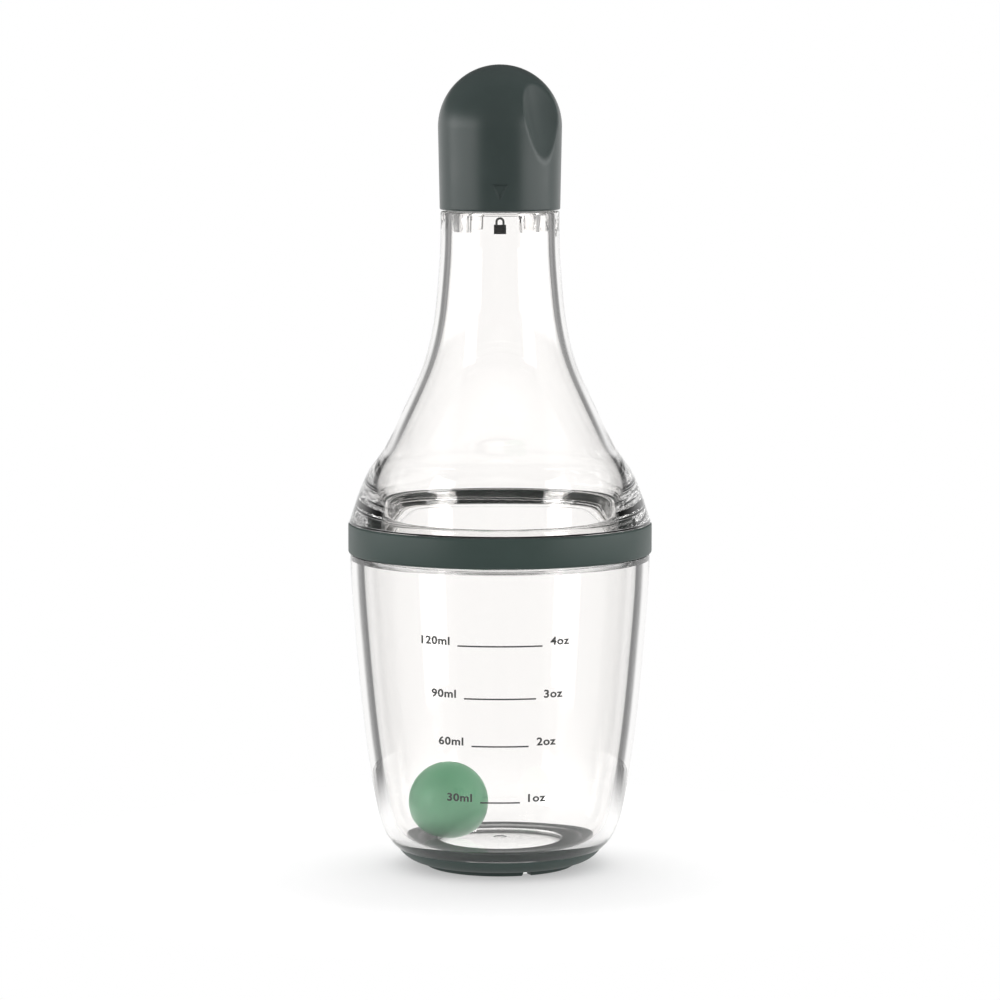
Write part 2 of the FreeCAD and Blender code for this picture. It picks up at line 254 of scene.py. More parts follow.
class CapSizes(bpy.types.PropertyGroup):
    """Twist cap, its plug and its locking lugs."""
    overhang: length("Overhang", "Cap's lower edge, out from the neck", 0.17)
    edge_round: length("Edge rounding", "Rounding of the lower edge", 0.3)
    socket_wall: length("Socket wall", "Thickness of the skirt round the plug", 1.07)
    ledge: length("Ledge", "Width of the ledge that the plug seats on", 2.0)
    plug_clearance: length("Plug clearance", "Play between plug and neck", 0.3)
    plug_reach: length("Plug reach", "Depth of the plug in the neck", 0.9)
    plug_wall: length("Plug wall", "Thickness of the plug's skirt and tabs", 1.5)
    tab_first: turn("First tab", "Angle of the first tab's middle from the front", -52.0)
    tab_angle: turn("Tab angle", "Angle that each tab covers", 24.0)
    tab_flank: turn("Tab flank", "Angle that each side of a tab slopes over", 1.2)
    lug_first: turn("First lug", "Angle where the first lug starts, from the front", -98.0)
    lug_angle: turn("Lug angle", "Angle that each lug covers", 10.0)
    lug_tab_angle: turn("Lug tab angle", "Angle that each tab with a lug covers", 16.0)
    lug_lead: length("Lug lead", "Rise of the lug grooves in one turn", 60.0)
    lug_height: length("Lug height", "Height of the lugs", 1.4)
    lug_flank: length("Lug flank", "Width of the slopes above and below a lug", 0.15)
    lug_engage: length("Lug engagement", "How far the lugs reach into the neck", 0.3)
    lug_above_tab: length("Lug above tab", "Lug's lower end above the tab's end", 1.1)
    lug_clearance: length("Lug clearance", "Play of the lugs in their grooves", 0.2)
    dimple_angle: turn("Dimple angle", "Angle of the first thumb dimple from the front", 47.0)
    dimple_drop: length("Dimple drop", "Dimple's middle below the cap's top", 12.3)
    dimple_depth: length("Dimple depth", "Depth at the dimple's middle", 2.2)
    dimple_across: length("Dimple radius", "Radius of the dimple across", 11.9)
    dimple_along: length("Dimple curve", "Radius of the dimple along the cap", 200.5)
    dimple_tilt: turn("Dimple tilt", "How far the dimple leans in with the dome", 14.0)
    dimple_edge: length("Dimple edge", "Softness of the dimple's edge", 0.35)
    arrow_width: length("Arrow width", "Width of the sunk arrow", 3.4)
    arrow_height: length("Arrow height", "Height of the sunk arrow", 3.2)
    arrow_above_edge: length("Arrow above edge", "Arrow's tip above the lower edge", 2.8)
    arrow_depth: length("Arrow depth", "Depth of the sunk arrow", 0.4)
    arrow_edge: length("Arrow edge", "Width of the slope round the arrow", 0.3)


class MarkSizes(bpy.types.PropertyGroup):
    """Printed volume marks on the cup and lock sign on the neck."""
    heights: FloatVectorProperty(
        name="Heights", description="Heights of the volume lines, from the lowest", size=4,
        default=(19.05 * MM, 32.03 * MM, 42.88 * MM, 54.83 * MM), unit="LENGTH", precision=5)
    reaches: FloatVectorProperty(
        name="Reaches", description="Half lengths of the volume lines, from the lowest", size=4,
        default=(4.46 * MM, 6.41 * MM, 8.1 * MM, 9.57 * MM), unit="LENGTH", precision=5)
    line_width: length("Line width", "Thickness of the lines", 0.34)
    word_height: length("Word height", "Height of the figures", 1.7)
    word_gap: length("Word gap", "Space between line and words", 1.85)
    word_lift: length("Word lift", "Words' foot above the line's middle", 0.2)
    ink: length("Ink", "Thickness of the ink", 0.04)
    lock_height: length("Lock height", "Height of the lock sign's foot", 145.3)
    lock_width: length("Lock width", "Width of the lock's body", 2.75)
    lock_body: length("Lock body", "Height of the lock's body", 2.1)
    shackle_radius: length("Shackle radius", "Radius of the shackle's middle", 0.78)
    shackle_width: length("Shackle width", "Thickness of the shackle", 0.5)
    shackle_leg: length("Shackle leg", "Straight part of the shackle", 0.65)


class Finishes(bpy.types.PropertyGroup):
    """Colours of the bottle's materials."""
    clear: colour("Clear plastic", "Tint of the clear plastic", "#fffefd")
    cap: colour("Cap", "Dark grey green of the cap", "#36413f")
    silicone: colour("Silicone", "Dark grey green of the band and the foot", "#384743")
    gasket: colour("Gasket", "Pale silicone under the cap", "#dcdedb")
    ball: colour("Ball", "Mint green of the ball", "#77c594")
    ink: colour("Ink", "Dark grey of the printed marks", "#454645")


class StageSizes(bpy.types.PropertyGroup):
    """Camera and studio."""
    camera_distance: length("Camera distance", "From the bottle's axis to the camera", 1021.5)
    camera_height: length("Camera height", "Height of the camera", 193.7)
    camera_tilt: turn("Camera tilt", "How far the camera looks down", 6.13)
    lens: FloatProperty(name="Lens", description="Focal length in millimetres", default=162.0)
    floor_radius: length("Floor radius", "Radius of the white floor", 110.0)
    floor_gap: length("Floor gap", "Space between foot and floor", 0.02)
    fade_start: length("Fade start", "Distance where the lit floor starts to turn white", 50.0)
    fade_end: length("Fade end", "Distance from which the floor is plain white", 108.0)
    mirror_start: length("Mirror start", "Distance where reflected rays start to see more", 60.0)
    # Painted patch of light on the floor inside the foot ring, standing in for light through the
    # clear base
    painted_light_radius: length("Glow radius", "Radius of the light patch inside the foot ring", 12.5)
    painted_light_edge: length("Glow edge", "Radius where the light patch has faded", 14.6)


def spline(points, count, first=None, last=None):
    """Cubic spline through the points over their chord length. Its second derivatives solve the
    equations of an even slope at each point; an end with a direction keeps to it, and a free end
    bends as its neighbour does."""
    points = np.asarray(points, float)
    knots = np.append(0.0, np.cumsum(np.linalg.norm(np.diff(points, axis=0), axis=1)))
    step = np.diff(knots)
    slope = np.diff(points, axis=0) / step[:, None]
    last_point = len(points) - 1
    equations = np.zeros((len(points), len(points)))
    values = np.zeros(points.shape)
    inner = np.arange(1, last_point)
    equations[inner, inner - 1] = step[:-1]
    equations[inner, inner] = 2 * (step[:-1] + step[1:])
    equations[inner, inner + 1] = step[1:]
    values[inner] = 6 * (slope[1:] - slope[:-1])
    equations[0, :2] = (1, -1) if first is None else (2 * step[0], step[0])
    equations[-1, -2:] = (-1, 1) if last is None else (step[-1], 2 * step[-1])
    if first is not None:
        values[0] = 6 * (slope[0] - unit(first))
    if last is not None:
        values[-1] = 6 * (unit(last) - slope[-1])
    bend = np.linalg.solve(equations, values)
    at = np.linspace(0, knots[-1], count)
    span = np.clip(np.searchsorted(knots, at, side="right") - 1, 0, last_point - 1)
    past = (at - knots[span])[:, None]
    width = step[span][:, None]
    start, end = bend[span], bend[span + 1]
    return (points[span] + past * (slope[span] - width * (2 * start + end) / 6)
            + past ** 2 * start / 2 + past ** 3 * (end - start) / (6 * width))


def unit(vector):
    """Vector of length one along the given one."""
    vector = np.asarray(vector, float)
    return vector / np.linalg.norm(vector)


def run(*corners):
    """Outline through corners (radius, height, rounding): straight runs joined by tangent arcs,
    whose points turn evenly from one run's normal to the next."""
    points = np.array([corner[:2] for corner in corners])
    parts = []
    for k, (_, _, rounding) in enumerate(corners):
        if rounding == 0:
            parts.append(points[k:k + 1])
            continue
        back = unit(points[k - 1] - points[k])
        on = unit(points[k + 1] - points[k])
        half = math.acos(back @ on) / 2
        middle = points[k] + unit(back + on) * rounding / math.sin(half)
        start = points[k] + back * rounding / math.tan(half) - middle
        end = points[k] + on * rounding / math.tan(half) - middle
        sweep = math.pi - 2 * half
        share = np.linspace(0, 1, ARC_POINTS)[:, None]
        parts.append(middle + (np.sin((1 - share) * sweep) * start + np.sin(share * sweep) * end)
                     / math.sin(sweep))
    return np.vstack(parts)


def joined(*parts):
    """One outline from several, without repeated points."""
    points = np.vstack(parts)
    new = np.linalg.norm(np.diff(points, axis=0), axis=1) > SAME_POINT
    return points[np.append(True, new)]


def circle(radius, z, elevations):
    """Points of a circle round (0, z): the radius times the cosine and the sine of the elevation."""
    return np.stack([radius * np.cos(elevations), z + radius * np.sin(elevations)], axis=-1)


def about_axis(radius, angles, height):
    """Points in space at these radii, angles about Z and heights."""
    return np.stack([radius * np.cos(angles), radius * np.sin(angles), height], axis=-1)


def even_angles(count):
    """Angles about Z, evenly spaced over one turn."""
    return np.arange(count) * math.tau / count


def around(first, count):
    """Angles about Z, evenly spaced, from this one counted from the front."""
    return FRONT + first + even_angles(count)


def apart(angles, middle):
    """Angle from the middle, whichever way round is shorter."""
    return np.abs((angles - middle + math.pi) % math.tau - math.pi)


def smooth_step(share):
    """0 below 0, 1 above 1 and an S-shaped rise between: 3 times the square less twice the cube."""
    share = np.clip(share, 0, 1)
    return share * share * (3 - 2 * share)


def mesh_object(name, points, faces):
    """Object at the origin with smooth faces and sharp edges where they turn."""
    mesh = bpy.data.meshes.new(name)
    mesh.from_pydata(points, [], faces)
    mesh.validate()
    mesh.shade_smooth()
    mesh.set_sharp_from_angle(angle=SHARP_EDGE)
    piece = bpy.data.objects.new(name, mesh)
    bpy.context.scene.collection.objects.link(piece)
    return piece


def turned(name, radius, height, angles, ring=False, centre=(0.0, 0.0)):
    """Surface of revolution about Z: each row and column holds the point at its radius and height
    on the column's angle. A ring's last row joins its first; otherwise the first and the last row
    are poles on the axis, where the quads become triangles."""
    rows, columns = radius.shape
    points = about_axis(radius, angles, height).reshape(-1, 3) + (*centre, 0)
    row = np.arange(rows if ring else rows - 1)[:, None]
    column = np.arange(columns)
    above = (row + 1) % rows
    beside = (column + 1) % columns
    quads = np.stack([row * columns + column, row * columns + beside, above * columns + beside,
                      above * columns + column], axis=-1)
    if ring:
        return mesh_object(name, points.tolist(), quads.reshape(-1, 4).tolist())
    number = np.arange(rows * columns)
    number[:columns] = 0
    number[-columns:] = (rows - 1) * columns
    used, compact = np.unique(number, return_inverse=True)
    quads = compact[quads]
    triangles = np.vstack([quads[0][:, [0, 2, 3]], quads[-1][:, [0, 1, 2]]])
    faces = triangles.tolist() + quads[1:-1].reshape(-1, 4).tolist()
    return mesh_object(name, points[used].tolist(), faces)


def spun(outline, angles):
    """Radius and height of a plain outline, one row for each of its points and one column for each
    angle."""
    grid = np.repeat(outline[:, :, None], len(angles), axis=2)
    return grid[:, 0], grid[:, 1]


def rounded_ring(name, box, bore_r, rounding):
    """Ring that fills a box round its bore: a rectangle with rounded outer corners, turned."""
    (_, _, low), (outer_r, _, high) = box
    outline = run((bore_r, low, 0), (outer_r, low, rounding), (outer_r, high, rounding),
                  (bore_r, high, 0))
    angles = even_angles(COLUMNS)
    return turned(name, *spun(outline, angles), angles, ring=True)


def dress(piece, make_finish, body, node=None):
    """Material, body, material slot and replaced solid of a finished piece. Pieces of one finish
    share one material."""
    name = make_finish.__name__
    piece.data.materials.append(bpy.data.materials.get(name) or make_finish(name))
    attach(piece, body)
    if node:
        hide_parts(node)


def helical_bands(height, angles, starts, first, last, lead, z, foot, crest):
    """Share, from 0 to 1, of bands that climb helices from z at their start angles. A band is 1
    within crest of its helix, 0 beyond foot and S-shaped between, and runs from the first to the
    last angle after its start, over as many turns as that takes, and out over the run-out."""
    run_out = bpy.context.scene.thread_sizes.run_out
    share = np.zeros(np.broadcast(height, angles).shape)
    for start in starts:
        for whole_turn in (-1, 0, 1):
            along = (angles - start) % math.tau + whole_turn * math.tau
            off = np.abs(height - z - lead * along / math.tau)
            begun = smooth_step((along - first) / run_out + 1)
            unfinished = smooth_step((last - along) / run_out + 1)
            flank = smooth_step((foot - off) / (foot - crest))
            share = np.maximum(share, flank * begun * unfinished)
    return share


def add_node(tree, kind, inputs=None, **settings):
    """Adds a node with its settings and returns its outputs. Inputs maps a socket to a value or to
    an output to link."""
    node = tree.nodes.new(kind)
    for name, value in settings.items():
        setattr(node, name, value)
    for socket, value in (inputs or {}).items():
        if isinstance(value, bpy.types.NodeSocket):
            tree.links.new(value, node.inputs[socket])
        else:
            node.inputs[socket].default_value = value
    return node.outputs


def empty_tree(owner):
    """Node tree of a material or world, with no nodes yet."""
    owner.use_nodes = True
    owner.node_tree.nodes.clear()
    return owner.node_tree


def per(millimetres):
    """Pattern scale, in repeats per metre, of a pattern with this size."""
    return 1 / (millimetres * MM)


def clear_copolyester(name):
    """Clear copolyester, injection moulded in a polished mould: glass-like, with the faint long
    waves of the melt's flow and a trace of haze where it was handled."""
    tint = bpy.context.scene.bottle_finishes.clear
    material = bpy.data.materials.new(name)
    tree = empty_tree(material)
    place = add_node(tree, "ShaderNodeTexCoord")["Object"]
    haze = add_node(tree, "ShaderNodeTexNoise", {
        "Vector": place, "Scale": per(9.0), "Detail": 3.0})["Fac"]
    roughness = add_node(tree, "ShaderNodeMapRange", {
        "Value": haze, "From Min": 0.45, "From Max": 0.8, "To Min": 0.0, "To Max": 0.03})["Result"]
    waves = add_node(tree, "ShaderNodeTexNoise", {
        "Vector": place, "Scale": per(16.0), "Detail": 1.0})["Fac"]
    normal = add_node(tree, "ShaderNodeBump", {
        "Height": waves, "Strength": 0.3, "Distance": 0.03 * MM})["Normal"]
    shader = add_node(tree, "ShaderNodeBsdfPrincipled", {
        "Base Color": (*tint, 1), "Transmission Weight": 1.0, "IOR": 1.55,
        "Roughness": roughness, "Normal": normal})["BSDF"]
    add_node(tree, "ShaderNodeOutputMaterial", {"Surface": shader})
    return material


def satin_finish(name, base, roughness, grain_mm, grain_depth_mm, gloss_level=0.5):
    """Opaque coloured finish with an even grain that breaks up the highlights, drawn coarser than
    the real one so that it shows, and slight clouds in colour and gloss."""
    material = bpy.data.materials.new(name)
    tree = empty_tree(material)
    place = add_node(tree, "ShaderNodeTexCoord")["Object"]
    clouds = add_node(tree, "ShaderNodeTexNoise", {
        "Vector": place, "Scale": per(7.0), "Detail": 3.0})["Fac"]
    shade = add_node(tree, "ShaderNodeMapRange", {
        "Value": clouds, "From Min": 0.3, "From Max": 0.7, "To Min": 0.95, "To Max": 1.05})["Result"]
    toned = add_node(tree, "ShaderNodeMix", {0: 1.0, "A": (*base, 1), "B": shade},
                     data_type="RGBA", blend_type="MULTIPLY")["Result"]
    gloss = add_node(tree, "ShaderNodeMapRange", {
        "Value": clouds, "From Min": 0.3, "From Max": 0.7,
        "To Min": roughness - 0.03, "To Max": roughness + 0.03})["Result"]
    grain = add_node(tree, "ShaderNodeTexNoise", {
        "Vector": place, "Scale": per(grain_mm), "Detail": 2.0})["Fac"]
    normal = add_node(tree, "ShaderNodeBump", {
        "Height": grain, "Strength": 0.5, "Distance": grain_depth_mm * MM})["Normal"]
    shader = add_node(tree, "ShaderNodeBsdfPrincipled", {
        "Base Color": toned, "IOR": 1.5, "Specular IOR Level": gloss_level,
        "Roughness": gloss, "Normal": normal})["BSDF"]
    add_node(tree, "ShaderNodeOutputMaterial", {"Surface": shader})
    return material


def moulded_silicone(name):
    """Dyed silicone from a matt mould: dark, with broad and weak highlights."""
    return satin_finish(name, bpy.context.scene.bottle_finishes.silicone,
                        roughness=0.45, grain_mm=0.3, grain_depth_mm=0.01, gloss_level=0.4)


def pale_silicone(name):
    """Undyed silicone, moulded thin: pale and matt."""
    return satin_finish(name, bpy.context.scene.bottle_finishes.gasket,
                        roughness=0.5, grain_mm=0.3, grain_depth_mm=0.01)


def spark_eroded_abs(name):
    """Dyed ABS from a spark-eroded mould: satin, with long soft highlights down the cap's sides."""
    return satin_finish(name, bpy.context.scene.bottle_finishes.cap,
                        roughness=0.33, grain_mm=0.25, grain_depth_mm=0.012)


def mint_polypropylene(name):
    """Dyed polypropylene from a smooth mould: satin and a little waxy."""
    return satin_finish(name, bpy.context.scene.bottle_finishes.ball,
                        roughness=0.32, grain_mm=0.3, grain_depth_mm=0.006)


def screen_printed_ink(name):
    """Screen-printed ink: dense and matt, with the faint grain that the screen's mesh leaves."""
    return satin_finish(name, bpy.context.scene.bottle_finishes.ink,
                        roughness=0.55, grain_mm=0.15, grain_depth_mm=0.004)


class BOTTLE_OT_foot(bpy.types.Operator):
    """Silicone ring under the cup, with a bellied side, a standing rim and a drain notch"""
    bl_idname = "bottle.foot"
    bl_label = "Foot ring"

    def execute(self, context):
        """The outline climbs the side on a spline; the standing rim's points rise in the notch."""
        size = context.scene.foot_sizes
        top = FOOT[1]
        step_r = top[0] - size.slope_width
        stand_r = step_r - size.step_width
        bore_r = stand_r - size.stand_width
        chord = np.array([(step_r, size.step_height), (top[0], top[2])])
        across = unit(chord[1] - chord[0])
        belly = chord.mean(axis=0) + np.array([across[1], -across[0]]) * size.belly
        side = spline([chord[0], belly, chord[1]], BELLY_ROWS)
        outline = joined(
            run((bore_r, top[2], 0), (bore_r, 0, size.edge_round), (stand_r, 0, size.edge_round),
                (stand_r, size.step_height, 0)),
            side,
            run((top[0], top[2] + size.bond, 0), (bore_r, top[2] + size.bond, 0)),
        )
        angles = even_angles(FINE_COLUMNS)
        radius, height = spun(outline, angles)
        off = apart(angles, FRONT + size.drain_angle) * stand_r
        notch = smooth_step((size.drain_width / 2 - off) / size.edge_round + 0.5)
        height += np.maximum(size.drain_height - height, 0) * notch
        piece = turned("foot", radius, height, angles, ring=True)
        dress(piece, moulded_silicone, "base", "foot_ring")
        return {"FINISHED"}


def cup_side():
    """Points of the cup's side from base to lip, for a spline, from shares of its height and radius;
    and the corner of its rim."""
    size = bpy.context.scene.cup_sizes
    base = np.array([size.base_radius, FOOT[1][2]])
    rim = np.array([CUP[1][0], BAND[0][2]])
    points = base + CUP_SIDE_SHARES[:, ::-1] * (rim - base)
    return np.vstack([points, rim - (0, size.lip_round)]), rim


class BOTTLE_OT_cup(bpy.types.Operator):
    """Clear flared cup with a flat floor, a shoulder and a threaded collar"""
    bl_idname = "bottle.cup"
    bl_label = "Cup"

    def execute(self, context):
        """The inside lies a wall's thickness square to the side; ridges lift the collar along
        helices."""
        size = context.scene.cup_sizes
        thread = context.scene.thread_sizes
        points, rim = cup_side()
        lip = points[-1]
        foot_z = FOOT[1][2]
        boss_z = CUP[0][2]
        floor_z = foot_z + size.floor
        floor_r = size.base_radius - size.floor_inset
        shoulder_z = rim[1] - size.shoulder
        root_r = rim[0] - size.collar_inset
        mouth_r = root_r - size.collar_wall
        mouth_z = rim[1] + size.collar_height
        side = np.vstack([points[:-1], rim])
        along = side[2:] - side[:-2]
        along /= np.linalg.norm(along, axis=1)[:, None]
        inwards = np.column_stack([-along[:, 1], along[:, 0]])
        inside = np.vstack([(floor_r, floor_z), side[1:-1] + inwards * size.wall,
                            (rim[0] - size.wall, shoulder_z)])
        outline = joined(
            run((0, boss_z, 0), (size.boss_radius, boss_z, 0), (size.boss_radius, foot_z, 0)),
            np.linspace((size.boss_radius, foot_z), (size.base_radius, foot_z), FLAT_ROWS),
            spline(points, SIDE_ROWS),
            run((*lip, 0), (*rim, size.lip_round), (root_r, rim[1], 0)),
            np.linspace((root_r, rim[1]), (root_r, mouth_z - size.collar_round), THREAD_ROWS),
            run((root_r, rim[1], 0), (root_r, mouth_z, size.collar_round),
                (mouth_r, mouth_z, size.collar_round), (mouth_r, shoulder_z, size.collar_round),
                (rim[0] - size.wall, shoulder_z, 0))[1:],
            spline(inside, SIDE_ROWS)[::-1],
            np.linspace((floor_r, floor_z), (size.gate_radius, floor_z), FLAT_ROWS),
            run((size.gate_radius, floor_z, 0), (size.gate_radius, floor_z - size.gate_depth, 0),
                (0, floor_z - size.gate_depth, 0)),
        )
        angles = even_angles(COLUMNS)
        radius, height = spun(outline, angles)
        on_collar = np.isclose(radius, root_r, atol=SAME_POINT)
        ridges = helical_bands(
            height, angles, thread.start + even_angles(THREAD_STARTS), 0, thread.span, thread.lead,
            rim[1] + thread.above_rim, thread.root_width / 2, thread.crest_width / 2)
        piece = turned("cup_body", radius + thread.ridge * ridges * on_collar, height, angles)
        dress(piece, clear_copolyester, "base", "cup")
        return {"FINISHED"}


def bell_bore():
    """Radius of the bell's threaded bore, which fits round the cup's collar."""
    scene = bpy.context.scene
    return CUP[1][0] - scene.cup_sizes.collar_inset + scene.thread_sizes.clearance


class BOTTLE_OT_band(bpy.types.Operator):
    """Silicone seal band between cup and bell"""
    bl_idname = "bottle.band"
    bl_label = "Seal band"

    def execute(self, context):
        """A thick ring with rounded outer edges."""
        scene = context.scene
        bore_r = bell_bore() + scene.bell_sizes.spigot_wall + scene.thread_sizes.clearance
        piece = rounded_ring("band", BAND, bore_r, scene.seal_sizes.band_round)
        dress(piece, moulded_silicone, "band", "band_seal")
        return {"FINISHED"}


class BOTTLE_OT_bell(bpy.types.Operator):
    """Clear bell with a long neck, a grooved spigot behind the band and lug grooves in its neck"""
    bl_idname = "bottle.bell"
    bl_label = "Bell"

    def execute(self, context):
        """Both sides are splines, the inside one a wall away; grooves sink along helices."""
        size = context.scene.bell_sizes
        thread = context.scene.thread_sizes
        cap = context.scene.cap_sizes
        skirt = np.array([BELL[1][0], BAND[1][2]])
        neck = np.array([size.neck_radius, BELL[1][2]])
        points = skirt + BELL_SIDE_SHARES[:, ::-1] * (neck - skirt)
        rim_start = neck[1] - size.rim_round
        bore_r = bell_bore()
        bore_top = skirt[1] + size.bore_height
        spigot_r = bore_r + size.spigot_wall
        spigot_z = BAND[0][2] + size.spigot_gap
        neck_bore_r = size.neck_radius - size.wall
        up = (0, 1)
        outside = spline(np.vstack([points, (neck[0], rim_start)]), BELL_ROWS,
                         points[1] - points[0], up)
        wall = np.full(len(points), size.wall)
        wall[BELL_SKIRT_POINTS] = size.skirt_wall
        inner = np.column_stack([points[:, 0] - wall, points[:, 1]])[BELL_SKIRT_POINTS:]
        inside = spline(np.vstack([(bore_r, bore_top), inner, (neck_bore_r, rim_start)]),
                        BELL_ROWS, up, up)
        outline = joined(
            outside,
            run((neck[0], rim_start, 0), (neck[0], neck[1], size.rim_round),
                (neck_bore_r, neck[1], size.rim_round), (neck_bore_r, rim_start, 0)),
            inside[::-1],
            np.linspace((bore_r, bore_top), (bore_r, skirt[1]), BORE_ROWS),
            np.linspace((bore_r, skirt[1]), (bore_r, spigot_z), THREAD_ROWS),
            run((bore_r, spigot_z, 0), (spigot_r, spigot_z, 0), (spigot_r, skirt[1], 0)),
        )
        angles = even_angles(COLUMNS)
        radius, height = spun(outline, angles)

        # Thread grooves come up from below the spigot
        entry = math.tau * (thread.above_rim + thread.root_width) / thread.lead
        grooves = helical_bands(
            height, angles, thread.start + even_angles(THREAD_STARTS), -entry, thread.span,
            thread.lead, BAND[0][2] + thread.above_rim,
            thread.root_width / 2 + thread.clearance, thread.crest_width / 2 + thread.clearance)
        in_bore = np.isclose(radius, bore_r, atol=SAME_POINT)
        depth = thread.ridge * grooves * in_bore

        # Lug grooves climb from the lugs' seats to past the rim
        groove_r = neck_bore_r + cap.lug_engage + cap.lug_clearance
        lug_z = PLUG[0][2] + cap.lug_above_tab
        half = cap.lug_height / 2 + cap.lug_clearance
        climb = math.tau * (neck[1] - lug_z + half) / cap.lug_lead
        slots = helical_bands(
            height, angles, around(cap.lug_first, LUG_COUNT), 0, climb, cap.lug_lead, lug_z,
            half, half - cap.lug_flank)
        near_rim = (radius < groove_r) & (height > PLUG[0][2] - cap.lug_height)
        depth += np.where(near_rim, (groove_r - radius) * slots, 0)
        piece = turned("bell_body", radius + depth, height, angles, ring=True)
        dress(piece, clear_copolyester, "upper", "bell")
        return {"FINISHED"}


class BOTTLE_OT_gasket(bpy.types.Operator):
    """Flat silicone gasket on the neck's rim"""
    bl_idname = "bottle.gasket"
    bl_label = "Cap gasket"

    def execute(self, context):
        """A flat ring with slightly rounded outer edges."""
        bell = context.scene.bell_sizes
        piece = rounded_ring("cap_gasket", GASKET, bell.neck_radius - bell.wall,
                             context.scene.seal_sizes.gasket_round)
        dress(piece, pale_silicone, "gasket", "cap_seal")
        return {"FINISHED"}


class BOTTLE_OT_plug(bpy.types.Operator):
    """Clear plug in the cap, with locking tabs that reach into the neck"""
    bl_idname = "bottle.plug"
    bl_label = "Cap plug"

    def execute(self, context):
        """The skirt's lower end drops to the tabs' ends within their angles, and the lugs lift the
        tabs' outer faces along helices."""
        size = context.scene.cap_sizes
        bell = context.scene.bell_sizes
        flange_r = PLUG[1][0]
        plug_r = bell.neck_radius - bell.wall - size.plug_clearance
        inner_r = plug_r - size.plug_wall
        under, top = GASKET[1][2], PLUG[1][2]
        tab_z = PLUG[0][2]
        skirt_z = BELL[1][2] - size.plug_reach
        angles = even_angles(FINE_COLUMNS)
        lug_starts = around(size.lug_first, LUG_COUNT)
        plain_tabs = [(middle, size.tab_angle) for middle in around(size.tab_first, TAB_COUNT)]
        lug_tabs = [(start + size.lug_angle / 2, size.lug_tab_angle) for start in lug_starts]
        tabs = np.zeros(angles.shape)
        for middle, width in plain_tabs + lug_tabs:
            inside = (width / 2 - apart(angles, middle)) / size.tab_flank
            tabs = np.maximum(tabs, smooth_step(inside + 0.5))
        lower = skirt_z + (tab_z - skirt_z) * tabs
        flat = np.ones(angles.shape)
        inner_wall = under + (lower - under) * np.linspace(0, 1, BORE_ROWS)[:, None]
        outer_wall = under + (lower - under) * np.linspace(1, 0, THREAD_ROWS)[:, None]
        half = size.lug_height / 2
        lugs = helical_bands(
            outer_wall, angles, lug_starts, 0, size.lug_angle, size.lug_lead,
            tab_z + size.lug_above_tab, half, half - size.lug_flank)
        outer_r = plug_r + lugs * (size.lug_engage + size.plug_clearance)
        radius = np.vstack([0 * flat, np.full(inner_wall.shape, inner_r), outer_r,
                            flange_r * flat, flange_r * flat, 0 * flat])
        height = np.vstack([under * flat, inner_wall, outer_wall,
                            under * flat, top * flat, top * flat])
        piece = turned("cap_stopper", radius, height, angles)
        dress(piece, clear_copolyester, "cap", "cap_plug")
        return {"FINISHED"}


def dimple_depth(radius, height, angles, inward):
    """How deep each point of the cap lies under the thumb dimples. A dimple is a barrel lying along
    the cap's side; halving finds where the line inwards from a point leaves the barrel."""
    size = bpy.context.scene.cap_sizes
    points = about_axis(radius, angles, height)
    up = np.array([0, 0, 1])
    depth = np.full(radius.shape, -DIMPLE_REACH)
    for azimuth in around(size.dimple_angle, DIMPLE_COUNT):
        outward = np.array([math.cos(azimuth), math.sin(azimuth), 0])
        middle = (outward * (CAP[1][0] - size.dimple_depth + size.dimple_across)
                  + up * (CAP[1][2] - size.dimple_drop))
        axis = up * math.cos(size.dimple_tilt) - outward * math.sin(size.dimple_tilt)

        def in_barrel(travel):
            """Whether the points, moved this far inwards, lie in the barrel."""
            from_middle = points + travel[..., None] * inward - middle
            along = from_middle @ axis
            off_axis = np.linalg.norm(from_middle - along[..., None] * axis, axis=-1)
            long_way = np.sqrt(np.maximum(size.dimple_along ** 2 - along ** 2, 0))
            return off_axis <= size.dimple_across - size.dimple_along + long_way

        low = np.full(radius.shape, -DIMPLE_REACH)
        high = np.full(radius.shape, DIMPLE_REACH)
        reached = in_barrel(low)
        for _ in range(DIMPLE_HALVINGS):
            half_way = (low + high) / 2
            still_in = in_barrel(half_way)
            low = np.where(still_in, half_way, low)
            high = np.where(still_in, high, half_way)
        depth = np.maximum(depth, np.where(reached, low, -DIMPLE_REACH))
    # The larger of the depth and zero, rounded over the edge's softness
    near = np.maximum(size.dimple_edge - np.abs(depth), 0) / size.dimple_edge
    return np.maximum(depth, 0) + near ** 2 * size.dimple_edge / 4


def arrow_depth(radius, height, angles):
    """Depth of the sunk arrow: full inside a triangle on its tip, falling off across its edges."""
    size = bpy.context.scene.cap_sizes
    across = apart(angles, FRONT) * radius
    above_tip = height - CAP[0][2] - size.arrow_above_edge
    slant = math.hypot(size.arrow_width / 2, size.arrow_height)
    from_side = (above_tip * size.arrow_width / 2 - across * size.arrow_height) / slant
    inside = np.minimum(from_side, size.arrow_height - above_tip)
    return size.arrow_depth * smooth_step(inside / size.arrow_edge + 0.5)


